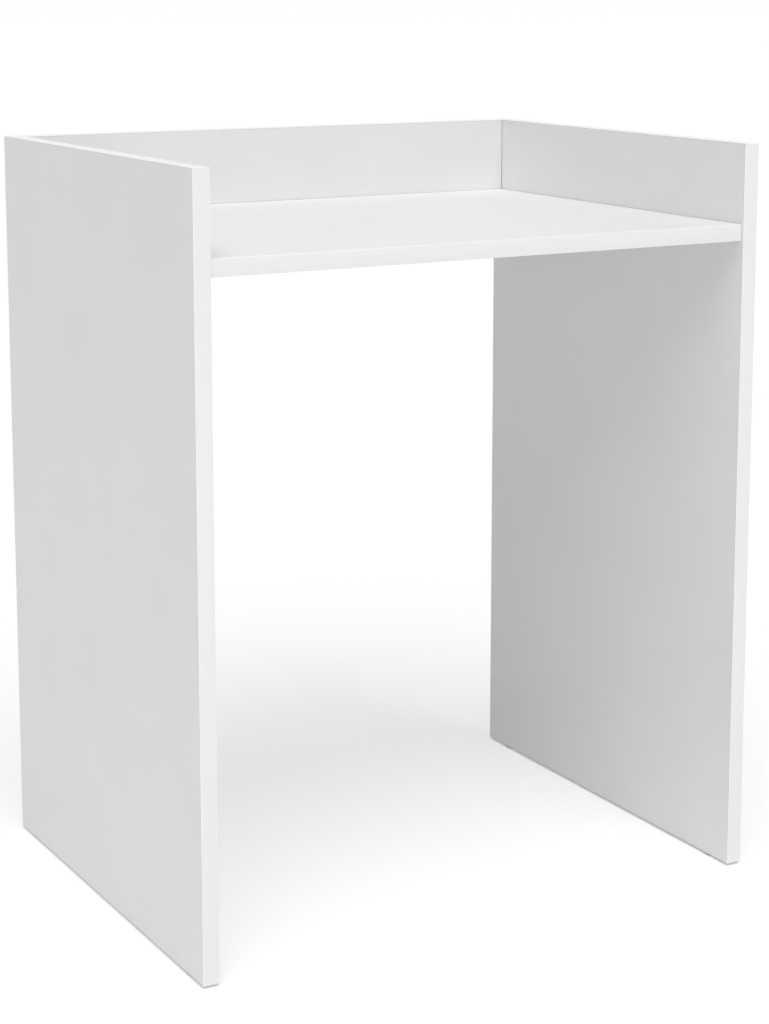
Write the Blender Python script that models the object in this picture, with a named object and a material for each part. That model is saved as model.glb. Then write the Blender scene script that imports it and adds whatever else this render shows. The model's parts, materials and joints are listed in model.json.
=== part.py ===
"""Laundry surround cabinet: two side panels, a shelf and a back board, joined by knock-down fittings.

Metres, +Z up, front towards -Y. The origin is on the floor, in the middle of the footprint.
"""
import math

import bmesh
import bpy
from mathutils import Matrix, Vector

# Driving sizes of the cabinet
cabinet_width = 0.820
cabinet_depth = 0.620
cabinet_height = 1.000
board_thickness = 0.022
upstand_height = 0.107
back_board_drop = 0.080
shelf_setback = 0.004

# Edge bands, glued to the board edges and eased along their outer arrises
band_thickness = 0.001
band_arris = 0.0005
arris_profile_share = 0.5
glue_line = 0.0003

# Clearances: between seated pieces, at the end of a blind bore, and of a cutter past its bore's mouth
seat_gap = 0.0003
end_gap = 0.001
cut_overrun = 0.002

# Glides under the side panels, each with a nail through its middle
glide_radius = 0.009
glide_height = 0.003
glide_arris = 0.0008
nail_radius = 0.001
nail_length = 0.018
nail_head_radius = 0.0024
nail_head_height = 0.0007
nail_recess = 0.0008
nail_point = 0.002
nail_tip_radius = 0.0003
glide_depth_shares = (0.08, 0.92)

# Cam bolts: thread in the side panel, collar on its face, shank, neck, and a ball head with a socket
drilling_distance = 0.034
thread_radius = 0.0025
thread_length = 0.011
thread_point = 0.0012
thread_tip_radius = 0.0019
collar_radius = 0.0036
collar_height = 0.0012
shank_radius = 0.0028
neck_radius = 0.0022
ball_radius = 0.0034
socket_radius = 0.0012
socket_depth = 0.0018

# Cams: a cap with a driver cross, and below it a spiral hook that runs round the ball head
cam_radius = 0.0072
cam_recess = 0.0003
cam_arris = 0.0004
cam_past_axis = 0.0040
cam_rise = 0.0014
ball_clearance = 0.0005
neck_clearance = 0.0005
cross_reach = 0.0036
cross_width = 0.0015
cross_depth = 0.0024
arrow_reach = 0.0062
arrow_length = 0.0016
arrow_width = 0.0020
arrow_depth = 0.0004

# Dowels: the shorter end is in the face of one board, the longer end in the edge of the other
dowel_radius = 0.004
dowel_length = 0.030
dowel_face_depth = 0.010
dowel_chamfer = 0.0012

# Where the fittings sit along the shelf's ends, its back edge and the back board's ends
shelf_cam_depth_shares = (0.12, 0.80)
shelf_dowel_depth_shares = (0.28, 0.64)
shelf_back_cam_width_share = 0.58
shelf_back_dowel_width_share = 0.28
back_board_cam_height_shares = (0.72, 0.28)
back_board_dowel_height_shares = (0.90, 0.10)

# Number of flats on round pieces
cam_sides = 24
bolt_sides = 12
dowel_sides = 16
glide_sides = 20
nail_sides = 8
ball_rings = 4
arris_steps = 2
smooth_angle = math.radians(35)

# Places that follow from the driving sizes
half_width = cabinet_width / 2
half_depth = cabinet_depth / 2
inner_half_width = half_width - board_thickness
side_bottom = glide_height + seat_gap
shelf_top = cabinet_height - upstand_height
shelf_bottom = shelf_top - board_thickness
shelf_middle = shelf_top - board_thickness / 2
shelf_front = -half_depth + shelf_setback
back_board_front = half_depth - board_thickness
back_board_middle = half_depth - board_thickness / 2
back_board_bottom = shelf_bottom - back_board_drop
back_board_height = cabinet_height - back_board_bottom
shelf_back = back_board_front - seat_gap
board_end = inner_half_width - seat_gap
edge_inset = band_thickness + glue_line

# Bores that follow from what goes into them
thread_bore_radius = thread_radius + seat_gap
bolt_bore_radius = collar_radius + seat_gap
cam_bore_radius = cam_radius + seat_gap
cam_axis_depth = board_thickness / 2
cam_height = cam_axis_depth + cam_past_axis - cam_recess
cam_bore_depth = cam_axis_depth + cam_past_axis + seat_gap
dowel_bore_radius = dowel_radius + seat_gap
dowel_edge_depth = dowel_length - dowel_face_depth
nail_bore_radius = nail_radius + seat_gap

sides = (("left", -1), ("right", 1))
rows = ("front", "rear")
levels = ("upper", "lower")
across = Vector((1.0, 0.0, 0.0))
back = Vector((0.0, 1.0, 0.0))
up = Vector((0.0, 0.0, 1.0))


# Scene and materials


def clear_scene():
    """Removes what the scene holds."""
    for thing in list(bpy.data.objects):
        bpy.data.objects.remove(thing, do_unlink=True)


def linear_channel(value):
    """One sRGB channel, 0 to 1, as linear light."""
    return value / 12.92 if value <= 0.04045 else ((value + 0.055) / 1.055) ** 2.4


def surface(name, srgb, roughness, metallic=0.0):
    """A Principled BSDF material from an sRGB hex colour."""
    made = bpy.data.materials.new(name)
    made.use_nodes = True
    shader = made.node_tree.nodes["Principled BSDF"]
    channels = [int(srgb[place : place + 2], 16) / 255 for place in (0, 2, 4)]
    colour = [linear_channel(channel) for channel in channels]
    shader.inputs["Base Color"].default_value = (*colour, 1.0)
    shader.inputs["Roughness"].default_value = roughness
    shader.inputs["Metallic"].default_value = metallic
    return made


def make_surfaces():
    """The materials, by the name of what they cover."""
    return {
        "board": surface("white_melamine_board", "EDEDEC", 0.45),
        "band": surface("white_edge_band", "F0F0EF", 0.38),
        "cam": surface("die_cast_zinc", "B4B5B6", 0.42, 1.0),
        "bolt": surface("zinc_plated_steel", "C3C5C8", 0.32, 1.0),
        "dowel": surface("beech_dowel", "D9B98A", 0.62),
        "glide": surface("white_polyethylene_glide", "D9D9D6", 0.50),
        "nail": surface("nail_steel", "A9ABAE", 0.35, 1.0),
    }


# Mesh helpers


def mesh_from(name, body):
    """Turns a bmesh into a mesh with its faces pointing out."""
    bmesh.ops.recalc_face_normals(body, faces=body.faces)
    mesh = bpy.data.meshes.new(name)
    body.to_mesh(mesh)
    body.free()
    return mesh


def add_piece(name, mesh, finish, place=None):
    """Adds an object with its own material slot, at a place matrix if one is given."""
    piece = bpy.data.objects.new(name, mesh)
    bpy.context.scene.collection.objects.link(piece)
    if finish.name not in mesh.materials:
        mesh.materials.append(finish)
    if place is not None:
        piece.matrix_world = place
    return piece


def round_off(mesh):
    """Shades a round piece smooth, with its real corners left sharp."""
    mesh.shade_smooth()
    mesh.set_sharp_from_angle(angle=smooth_angle)


def box_body(x_range, y_range, z_range):
    """A closed box between its lowest and highest values on each axis."""
    low = Vector((min(x_range), min(y_range), min(z_range)))
    high = Vector((max(x_range), max(y_range), max(z_range)))
    body = bmesh.new()
    bmesh.ops.create_cube(body, size=1.0)
    bmesh.ops.scale(body, vec=high - low, verts=body.verts)
    bmesh.ops.translate(body, vec=(low + high) / 2, verts=body.verts)
    return body


def turned_body(profile, flats, ring=False):
    """Turns (radius, height) points about Z. A ring joins its last point to its first, others are capped."""
    body = bmesh.new()
    loops = []
    for radius, height in profile:
        turns = [2 * math.pi * step / flats for step in range(flats)]
        loops.append([body.verts.new((radius * math.cos(a), radius * math.sin(a), height)) for a in turns])
    pairs = list(zip(loops, loops[1:]))
    if ring:
        pairs.append((loops[-1], loops[0]))
    else:
        body.faces.new(loops[0])
        body.faces.new(loops[-1])
    for lower, upper in pairs:
        for step in range(flats):
            after = (step + 1) % flats
            body.faces.new((lower[step], lower[after], upper[after], upper[step]))
    return body


def prism_body(outline, bottom, top):
    """A closed prism on an outline of (x, y) points, from its bottom to its top height."""
    body = bmesh.new()
    floor = body.faces.new([body.verts.new((x, y, bottom)) for x, y in outline])
    raised = bmesh.ops.extrude_face_region(body, geom=[floor])
    risen = [item for item in raised["geom"] if isinstance(item, bmesh.types.BMVert)]
    bmesh.ops.translate(body, vec=up * (top - bottom), verts=risen)
    return body


def axis_place(point, direction):
    """A matrix that puts a body turned about Z at a point, with its +Z along a direction."""
    return Matrix.Translation(point) @ direction.to_track_quat("Z", "Y").to_matrix().to_4x4()


def bore_body(bores, flats):
    """Separate round cutters. Each bore is a mouth, a direction into the board, a depth and a radius."""
    body = bmesh.new()
    for mouth, inward, depth, radius in bores:
        middle = mouth + inward * ((depth - cut_overrun) / 2)
        bmesh.ops.create_cone(
            body,
            cap_ends=True,
            segments=flats,
            radius1=radius,
            radius2=radius,
            depth=depth + cut_overrun,
            matrix=axis_place(middle, inward),
        )
    return body


def cut(piece, name, body):
    """Cuts a body out of a piece with a hidden cutter object."""
    cutter = bpy.data.objects.new(name, mesh_from(name, body))
    bpy.context.scene.collection.objects.link(cutter)
    cutter.hide_render = True
    cutter.display_type = "WIRE"
    hole = piece.modifiers.new(name, "BOOLEAN")
    hole.operation = "DIFFERENCE"
    hole.solver = "EXACT"
    hole.object = cutter
    return cutter


# Places of the fittings, each a name ending, a point where two boards meet, and the way outward from there


def end_places(level_names, points):
    """Places at both ends of a board, from (depth, height) points on the side panels' inner faces."""
    found = []
    for side_name, side in sides:
        for level_name, (depth, height) in zip(level_names, points):
            point = Vector((side * inner_half_width, depth, height))
            found.append((f"{side_name}_{level_name}", point, across * side))
    return found


def shelf_end_places(depth_shares):
    """Places along the shelf's two ends."""
    depths = [-half_depth + share * cabinet_depth for share in depth_shares]
    return end_places(rows, [(depth, shelf_middle) for depth in depths])


def back_board_places(height_shares):
    """Places along the back board's two ends."""
    heights = [back_board_bottom + share * back_board_height for share in height_shares]
    return end_places(levels, [(back_board_middle, height) for height in heights])


def shelf_back_places(width_share):
    """Places along the shelf's back edge, on the back board's front face."""
    reach = width_share * inner_half_width
    points = [Vector((side * reach, back_board_front, shelf_middle)) for _, side in sides]
    return [(f"back_{name}", point, back) for (name, _), point in zip(sides, points)]


def shelf_places(depth_shares, width_share):
    """Places along the shelf's ends and its back edge."""
    return shelf_end_places(depth_shares) + shelf_back_places(width_share)


def cam_sets():
    """Each board's cam places, and the way that the cams' driver crosses face."""
    return {
        "shelf": (shelf_places(shelf_cam_depth_shares, shelf_back_cam_width_share), -up),
        "back_board": (back_board_places(back_board_cam_height_shares), back),
    }


def dowel_sets():
    """Each board's dowel places."""
    return {
        "shelf": shelf_places(shelf_dowel_depth_shares, shelf_back_dowel_width_share),
        "back_board": back_board_places(back_board_dowel_height_shares),
    }


def glide_points(side):
    """Points on the floor under one side panel: row name and point."""
    middle = side * (half_width - board_thickness / 2)
    depths = [-half_depth + share * cabinet_depth for share in glide_depth_shares]
    return [(row, Vector((middle, depth, 0.0))) for row, depth in zip(rows, depths)]


# Bores, each a mouth, a direction into the board, a depth and a radius


def edge_bores(key):
    """Bores into a board's ends and edge, for its bolts and dowels."""
    cam_places, _ = cam_sets()[key]
    bores = [(point, -outward, drilling_distance, bolt_bore_radius) for _, point, outward in cam_places]
    for _, point, outward in dowel_sets()[key]:
        bores.append((point, -outward, dowel_edge_depth + end_gap, dowel_bore_radius))
    return bores


def cam_bores(key):
    """Blind bores for a board's cams, from the face that they open on."""
    cam_places, facing = cam_sets()[key]
    bores = []
    for _, point, outward in cam_places:
        mouth = point - outward * drilling_distance + facing * cam_axis_depth
        bores.append((mouth, -facing, cam_bore_depth, cam_bore_radius))
    return bores


def face_bores(inward):
    """Bores in that direction into a board's face, for all the bolts and dowels that go outward so."""
    bores = []
    for places, _ in cam_sets().values():
        for _, point, outward in places:
            if outward == inward:
                bores.append((point, inward, thread_length + end_gap, thread_bore_radius))
    for places in dowel_sets().values():
        for _, point, outward in places:
            if outward == inward:
                bores.append((point, inward, dowel_face_depth + end_gap, dowel_bore_radius))
    return bores


def nail_bores(side, surface_height):
    """Upward bores for the glides' nails, from the given underside to just past the nails' points."""
    depth = nail_recess + nail_length + end_gap - surface_height
    return [(point + up * surface_height, up, depth, nail_bore_radius) for _, point in glide_points(side)]


# Boards


def make_side_panel(side_name, side, finish):
    """A side panel's board, inside its four edge bands."""
    body = box_body(
        (side * half_width, side * inner_half_width),
        (-half_depth + edge_inset, half_depth - edge_inset),
        (side_bottom + edge_inset, cabinet_height - edge_inset),
    )
    name = f"{side_name}_side_panel"
    panel = add_piece(name, mesh_from(name, body), finish)
    cut(panel, f"{side_name}_side_bores", bore_body(face_bores(across * side), dowel_sides))
    cut(panel, f"{side_name}_nail_bores", bore_body(nail_bores(side, side_bottom + edge_inset), nail_sides))


def make_shelf(finish):
    """The shelf's board, between the sides and before the back board, with cams open on its underside."""
    depths = (shelf_front + edge_inset, shelf_back)
    body = box_body((-board_end, board_end), depths, (shelf_bottom, shelf_top))
    shelf = add_piece("top_shelf", mesh_from("top_shelf", body), finish)
    cut(shelf, "shelf_bores", bore_body(edge_bores("shelf"), dowel_sides))
    cut(shelf, "shelf_cam_bores", bore_body(cam_bores("shelf"), cam_sides))


def make_back_board(finish):
    """The back board's board, with bores for the shelf in its front and cams open on its back."""
    heights = (back_board_bottom + edge_inset, cabinet_height - edge_inset)
    body = box_body((-board_end, board_end), (back_board_front, half_depth), heights)
    board = add_piece("back_board", mesh_from("back_board", body), finish)
    cut(board, "back_board_bores", bore_body(edge_bores("back_board") + face_bores(back), dowel_sides))
    cut(board, "back_board_cam_bores", bore_body(cam_bores("back_board"), cam_sides))


# Edge bands


def make_band(name, ranges, outward, ends_too, finish):
    """An edge band. Its outer arrises are eased, along its ends too where they show."""
    body = box_body(*ranges)
    reach = max(corner.co.dot(outward) for corner in body.verts)
    face = {corner for corner in body.verts if reach - corner.co.dot(outward) < band_thickness / 2}
    outer = [edge for edge in body.edges if face.issuperset(edge.verts)]
    longest = max(edge.calc_length() for edge in outer)
    eased = [edge for edge in outer if ends_too or edge.calc_length() > longest / 2]
    bmesh.ops.bevel(
        body,
        geom=eased,
        offset=band_arris,
        segments=arris_steps,
        affect="EDGES",
        profile=arris_profile_share,
    )
    return add_piece(name, mesh_from(name, body), finish)


def make_side_bands(side_name, side, finish):
    """Front and back bands over the whole height, with top and bottom bands between them."""
    thickness = (side * half_width, side * inner_half_width)
    height = (side_bottom, cabinet_height)
    between = (-half_depth + edge_inset, half_depth - edge_inset)
    front = (-half_depth, -half_depth + band_thickness)
    rear = (half_depth - band_thickness, half_depth)
    top = (cabinet_height - band_thickness, cabinet_height)
    bottom = (side_bottom, side_bottom + band_thickness)
    start = f"{side_name}_side"
    make_band(f"{start}_front_band", (thickness, front, height), -back, True, finish)
    make_band(f"{start}_back_band", (thickness, rear, height), back, True, finish)
    make_band(f"{start}_top_band", (thickness, between, top), up, False, finish)
    underside = make_band(f"{start}_bottom_band", (thickness, between, bottom), -up, False, finish)
    cut(underside, f"{start}_nail_bores", bore_body(nail_bores(side, side_bottom), nail_sides))


def make_board_bands(finish):
    """The shelf's front band, and the back board's top and bottom bands."""
    length = (-board_end, board_end)
    front = (shelf_front, shelf_front + band_thickness)
    depth = (back_board_front, half_depth)
    top = (cabinet_height - band_thickness, cabinet_height)
    bottom = (back_board_bottom, back_board_bottom + band_thickness)
    make_band("shelf_front_band", (length, front, (shelf_bottom, shelf_top)), -back, False, finish)
    make_band("back_board_top_band", (length, depth, top), up, False, finish)
    make_band("back_board_bottom_band", (length, depth, bottom), -up, False, finish)


# Cams, bolts and dowels


def spiral_outline():
    """The hook's inner edge: nearest to the axis where the neck lies when locked, and furthest opposite."""
    outline = []
    for step in range(cam_sides):
        angle = 2 * math.pi * step / cam_sides
        share = 1 - abs(angle - math.pi) / math.pi
        radius = ball_radius + ball_clearance + cam_rise * share
        outline.append((radius * math.cos(angle), radius * math.sin(angle)))
    return outline


def cross_outline():
    """A plus sign, for the driver."""
    half = cross_width / 2
    arm = (Vector((half, half)), Vector((half, cross_reach)), Vector((-half, cross_reach)))
    outline = []
    for quarter in range(4):
        turn = Matrix.Rotation(quarter * math.pi / 2, 2)
        outline += [turn @ corner for corner in arm]
    return outline


def arrow_outline():
    """A triangle that points to the side where the ball head goes in."""
    tail = arrow_length - arrow_reach
    return [(-arrow_reach, 0.0), (tail, -arrow_width / 2), (tail, arrow_width / 2)]


def cam_mesh(finish):
    """A locked cam. Its exposed face is at height zero and faces +Z, and the bolt's neck lies towards +X."""
    axis_height = cam_recess - cam_axis_depth
    neck_half = neck_radius + neck_clearance
    window_half = ball_radius + ball_clearance
    ceiling = axis_height + window_half
    neck_band = (axis_height - neck_half, axis_height + neck_half)
    outside = cam_radius + cut_overrun
    below = -cam_height - cut_overrun
    profile = (
        (cam_radius, -cam_height),
        (cam_radius, -cam_arris),
        (cam_radius - cam_arris, 0.0),
    )
    blank = add_piece("cam_blank", mesh_from("cam_blank", turned_body(profile, cam_sides)), finish)
    cutters = [
        cut(blank, "cam_hollow", prism_body(spiral_outline(), below, ceiling)),
        cut(blank, "cam_neck_slot", box_body((-outside, outside), (-outside, neck_half), neck_band)),
        cut(blank, "cam_window", box_body((-outside, 0.0), (-window_half, window_half), (below, ceiling))),
        cut(blank, "cam_cross", prism_body(cross_outline(), -cross_depth, cut_overrun)),
        cut(blank, "cam_arrow", prism_body(arrow_outline(), -arrow_depth, cut_overrun)),
    ]
    bpy.context.view_layer.update()
    evaluated = blank.evaluated_get(bpy.context.evaluated_depsgraph_get())
    mesh = bpy.data.meshes.new_from_object(evaluated)
    for thing in [blank, *cutters]:
        bpy.data.objects.remove(thing, do_unlink=True)
    round_off(mesh)
    return mesh


def bolt_mesh():
    """A cam bolt along Z, from a side panel's face at height zero to the ball at the drilling distance."""
    neck_start = drilling_distance - cam_radius - ball_clearance
    profile = [
        (thread_tip_radius, -thread_length),
        (thread_radius, -thread_length + thread_point),
        (thread_radius, seat_gap),
        (collar_radius, seat_gap),
        (collar_radius, seat_gap + collar_height),
        (shank_radius, seat_gap + collar_height),
        (shank_radius, neck_start - (shank_radius - neck_radius)),
        (neck_radius, neck_start),
    ]
    first = math.asin(neck_radius / ball_radius)
    last = math.pi - math.asin(socket_radius / ball_radius)
    for step in range(ball_rings + 1):
        angle = first + (last - first) * step / ball_rings
        profile.append((ball_radius * math.sin(angle), drilling_distance - ball_radius * math.cos(angle)))
    tip = drilling_distance - ball_radius * math.cos(last)
    profile.append((socket_radius, tip - socket_depth))
    mesh = mesh_from("cam_bolt", turned_body(profile, bolt_sides))
    round_off(mesh)
    return mesh


def dowel_mesh():
    """A dowel along Z, with the board face that it crosses at height zero."""
    bottom = -dowel_face_depth
    profile = (
        (dowel_radius - dowel_chamfer, bottom),
        (dowel_radius, bottom + dowel_chamfer),
        (dowel_radius, dowel_edge_depth - dowel_chamfer),
        (dowel_radius - dowel_chamfer, dowel_edge_depth),
    )
    mesh = mesh_from("dowel", turned_body(profile, dowel_sides))
    round_off(mesh)
    return mesh


def make_cams_and_bolts(cam_finish, bolt_finish):
    """A cam and its bolt at each place. A cam's origin is on its turning axis."""
    cam = cam_mesh(cam_finish)
    bolt = bolt_mesh()
    for key, (places, facing) in cam_sets().items():
        for ending, point, outward in places:
            centre = point - outward * drilling_distance + facing * (cam_axis_depth - cam_recess)
            turn = Matrix((outward, facing.cross(outward), facing)).transposed().to_4x4()
            add_piece(f"{key}_cam_{ending}", cam, cam_finish, Matrix.Translation(centre) @ turn)
            add_piece(f"{key}_bolt_{ending}", bolt, bolt_finish, axis_place(point, -outward))


def make_dowels(finish):
    """A dowel at each place."""
    dowel = dowel_mesh()
    for key, places in dowel_sets().items():
        for ending, point, outward in places:
            add_piece(f"{key}_dowel_{ending}", dowel, finish, axis_place(point, -outward))


# Glides


def glide_mesh():
    """A glide that stands on the floor: a disc with a stepped hole for its nail."""
    step_height = nail_recess + nail_head_height + seat_gap
    step_radius = nail_head_radius + seat_gap
    profile = (
        (step_radius, 0.0),
        (glide_radius - glide_arris, 0.0),
        (glide_radius, glide_arris),
        (glide_radius, glide_height),
        (nail_bore_radius, glide_height),
        (nail_bore_radius, step_height),
        (step_radius, step_height),
    )
    mesh = mesh_from("glide", turned_body(profile, glide_sides, ring=True))
    round_off(mesh)
    return mesh


def nail_mesh():
    """A nail that points up from its recess in the glide."""
    head_top = nail_recess + nail_head_height
    tip = nail_recess + nail_length
    profile = (
        (nail_head_radius, nail_recess),
        (nail_head_radius, head_top),
        (nail_radius, head_top),
        (nail_radius, tip - nail_point),
        (nail_tip_radius, tip),
    )
    mesh = mesh_from("glide_nail", turned_body(profile, nail_sides))
    round_off(mesh)
    return mesh


def make_glides(glide_finish, nail_finish):
    """Two glides under each side panel, each with its nail."""
    glide = glide_mesh()
    nail = nail_mesh()
    for side_name, side in sides:
        for row, point in glide_points(side):
            ending = f"{side_name}_{row}"
            add_piece(f"glide_{ending}", glide, glide_finish, Matrix.Translation(point))
            add_piece(f"glide_nail_{ending}", nail, nail_finish, Matrix.Translation(point))


# The whole cabinet


def make_cabinet():
    """Boards, bands, fittings and glides."""
    finishes = make_surfaces()
    for side_name, side in sides:
        make_side_panel(side_name, side, finishes["board"])
        make_side_bands(side_name, side, finishes["band"])
    make_shelf(finishes["board"])
    make_back_board(finishes["board"])
    make_board_bands(finishes["band"])
    make_cams_and_bolts(finishes["cam"], finishes["bolt"])
    make_dowels(finishes["dowel"])
    make_glides(finishes["glide"], finishes["nail"])


clear_scene()
make_cabinet()
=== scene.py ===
"""The looks of a white laundry surround cabinet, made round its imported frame.

Every piece is a surface worked out with numpy: outlines stacked along an axis, a section carried along a
line, or a profile turned about an axis with its flutes and threads. Bores and recesses are cut from them.
"""
import json
import math

import bmesh
import bpy
import numpy as np
from mathutils import Matrix, Vector


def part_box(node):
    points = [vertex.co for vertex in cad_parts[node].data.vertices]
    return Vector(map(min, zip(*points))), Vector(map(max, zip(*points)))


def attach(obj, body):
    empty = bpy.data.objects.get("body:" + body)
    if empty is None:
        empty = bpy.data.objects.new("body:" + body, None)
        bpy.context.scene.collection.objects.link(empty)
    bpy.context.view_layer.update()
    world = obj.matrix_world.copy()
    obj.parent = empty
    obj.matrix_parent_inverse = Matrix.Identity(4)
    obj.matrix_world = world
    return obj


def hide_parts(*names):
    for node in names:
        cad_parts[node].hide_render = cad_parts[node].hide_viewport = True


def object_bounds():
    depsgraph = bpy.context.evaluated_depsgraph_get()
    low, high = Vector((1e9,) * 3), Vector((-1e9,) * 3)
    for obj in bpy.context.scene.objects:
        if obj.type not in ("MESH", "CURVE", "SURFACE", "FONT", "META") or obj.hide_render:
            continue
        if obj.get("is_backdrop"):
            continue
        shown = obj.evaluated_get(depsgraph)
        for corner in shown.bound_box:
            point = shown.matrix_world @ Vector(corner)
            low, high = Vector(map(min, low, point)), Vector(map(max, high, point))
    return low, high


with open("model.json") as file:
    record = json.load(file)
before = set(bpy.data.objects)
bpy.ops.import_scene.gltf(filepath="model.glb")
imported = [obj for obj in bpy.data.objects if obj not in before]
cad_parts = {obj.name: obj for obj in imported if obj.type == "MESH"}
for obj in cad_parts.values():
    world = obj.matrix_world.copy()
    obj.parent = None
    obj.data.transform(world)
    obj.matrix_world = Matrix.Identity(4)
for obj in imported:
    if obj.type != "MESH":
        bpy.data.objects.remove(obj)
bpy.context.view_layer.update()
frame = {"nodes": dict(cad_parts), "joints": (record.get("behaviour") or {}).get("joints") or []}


# Boards
# The sides, the shelf and the back board are 22 mm chipboard, faced with white melamine paper under a steel
# plate that leaves a fine pearl grain. They are sawn to size and bored, and their arrises are just broken.

flush_arris = 0.00008
broken_arris = 0.0005
bore_clearance = 0.0003
bore_end_gap = 0.001
bore_columns = 64
mouth_break = 0.0002
cutter_overrun = 0.001
lip_steps = 2
thread_radius = 0.0025
nail_shank_radius = 0.0010
smooth_angle = math.radians(32)
merge_distance = 1e-7
paper_pale = "#EFEFEF"
paper_deep = "#E9E9E9"
paper_smooth = 0.38
paper_rough = 0.50
pearl_grain = 0.0028
pearl_detail = 1.0
pearl_depth = 0.00006
press_cloud = 0.11
hand_smear = 0.04
smear_detail = 3.0
core_dark = "#70665A"
core_light = "#A69B8B"
core_rough = 0.85
chip_size = 0.0016
chip_depth = 0.0003
melamine_ior = 1.55
face_normal_limit = 0.9


def linear(srgb):
    """An sRGB hex colour as linear light: a straight line near black, and a 2.4 power above it."""
    value = np.array([int(srgb[place : place + 2], 16) for place in (1, 3, 5)]) / 255
    light = np.where(value <= 0.04045, value / 12.92, ((value + 0.055) / 1.055) ** 2.4)
    return (*light.tolist(), 1.0)


def add_node(tree, kind, inputs=(), **settings):
    """Adds a shader node with its settings. Each input is given a value, or linked where it is an output.

    A mix takes its share at input 0. Its numbers go in at 2 and 3 and come out at 0, and its colours go in
    at 6 and 7 and come out at 2.
    """
    node = tree.nodes.new(kind)
    for name, value in settings.items():
        setattr(node, name, value)
    for socket, value in dict(inputs).items():
        if isinstance(value, bpy.types.NodeSocket):
            tree.links.new(value, node.inputs[socket])
        else:
            node.inputs[socket].default_value = value
    return node


def new_finish(name):
    """A new material, with its node tree and its shader."""
    made = bpy.data.materials.new(name)
    made.use_nodes = True
    return made, made.node_tree, made.node_tree.nodes["Principled BSDF"]


def melamine_faced_chipboard(name, thickness_axis):
    """White melamine paper over chipboard. It gives a soft satin sheen, broken up by its pearl grain.

    A face counts as melamine where its normal lies along the board's thickness, and as bare core elsewhere.
    The grain is drawn several times coarser than the real half millimetre, which would not show.
    """
    made, tree, shader = new_finish(name)
    place = add_node(tree, "ShaderNodeTexCoord")
    spot = place.outputs["Object"]
    parts = add_node(tree, "ShaderNodeSeparateXYZ", {0: place.outputs["Normal"]})
    squareness = add_node(tree, "ShaderNodeMath", {0: parts.outputs[thickness_axis]}, operation="ABSOLUTE")
    face_test = add_node(
        tree,
        "ShaderNodeMath",
        {0: squareness.outputs[0], 1: face_normal_limit},
        operation="GREATER_THAN",
    )
    on_face = face_test.outputs[0]
    cloud = add_node(tree, "ShaderNodeTexNoise", {"Vector": spot, "Scale": 1 / press_cloud})
    paper = add_node(
        tree,
        "ShaderNodeMix",
        {0: cloud.outputs["Fac"], 6: linear(paper_pale), 7: linear(paper_deep)},
        data_type="RGBA",
    )
    chips = add_node(tree, "ShaderNodeTexVoronoi", {"Vector": spot, "Scale": 1 / chip_size})
    shade = add_node(tree, "ShaderNodeSeparateColor", {0: chips.outputs["Color"]})
    core = add_node(
        tree,
        "ShaderNodeMix",
        {0: shade.outputs[0], 6: linear(core_dark), 7: linear(core_light)},
        data_type="RGBA",
    )
    colour = add_node(
        tree,
        "ShaderNodeMix",
        {0: on_face, 6: core.outputs[2], 7: paper.outputs[2]},
        data_type="RGBA",
    )
    smear = add_node(
        tree, "ShaderNodeTexNoise", {"Vector": spot, "Scale": 1 / hand_smear, "Detail": smear_detail}
    )
    satin = add_node(
        tree,
        "ShaderNodeMapRange",
        {"Value": smear.outputs["Fac"], "To Min": paper_smooth, "To Max": paper_rough},
    )
    rough = add_node(tree, "ShaderNodeMix", {0: on_face, 2: core_rough, 3: satin.outputs[0]})
    pearl = add_node(
        tree, "ShaderNodeTexNoise", {"Vector": spot, "Scale": 1 / pearl_grain, "Detail": pearl_detail}
    )
    height = add_node(
        tree, "ShaderNodeMix", {0: on_face, 2: chips.outputs["Distance"], 3: pearl.outputs["Fac"]}
    )
    depth = add_node(tree, "ShaderNodeMix", {0: on_face, 2: chip_depth, 3: pearl_depth})
    bump = add_node(tree, "ShaderNodeBump", {"Height": height.outputs[0], "Distance": depth.outputs[0]})
    tree.links.new(colour.outputs[2], shader.inputs["Base Color"])
    tree.links.new(rough.outputs[0], shader.inputs["Roughness"])
    tree.links.new(bump.outputs[0], shader.inputs["Normal"])
    shader.inputs["IOR"].default_value = melamine_ior
    return made


def mesh_from_grid(name, grid, uv=None, arris_highlight=None):
    """A closed mesh on a grid of points, shaped (rows, columns, 3).

    Each quad joins a point to its neighbours in the next row and column. The last column joins the first.
    uv has one column more than the grid, and the last argument gives each point's share of painted highlight.
    Rows that shrink to a point become fans when their doubles merge.
    """
    corners = np.arange(grid.shape[0] * grid.shape[1]).reshape(grid.shape[:2])
    beside = np.roll(corners, -1, axis=1)
    quads = np.stack([corners[:-1], beside[:-1], beside[1:], corners[1:]], axis=-1).reshape(-1, 4)
    mesh = bpy.data.meshes.new(name)
    mesh.from_pydata(grid.reshape(-1, 3), [], quads, shade_flat=False)
    if uv is not None:
        spread = np.stack([uv[:-1, :-1], uv[:-1, 1:], uv[1:, 1:], uv[1:, :-1]], axis=2)
        mesh.uv_layers.new(name="UVMap").data.foreach_set("uv", spread.ravel().astype(np.float32))
    # Each point's share of painted highlight, kept for the band's finish
    if arris_highlight is not None:
        layer = mesh.attributes.new("arris_highlight", "FLOAT", "POINT")
        layer.data.foreach_set("value", arris_highlight.ravel().astype(np.float32))
    body = bmesh.new()
    body.from_mesh(mesh)
    bmesh.ops.remove_doubles(body, verts=body.verts, dist=merge_distance)
    bmesh.ops.recalc_face_normals(body, faces=body.faces)
    body.to_mesh(mesh)
    body.free()
    mesh.set_sharp_from_angle(angle=smooth_angle)
    return mesh


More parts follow.
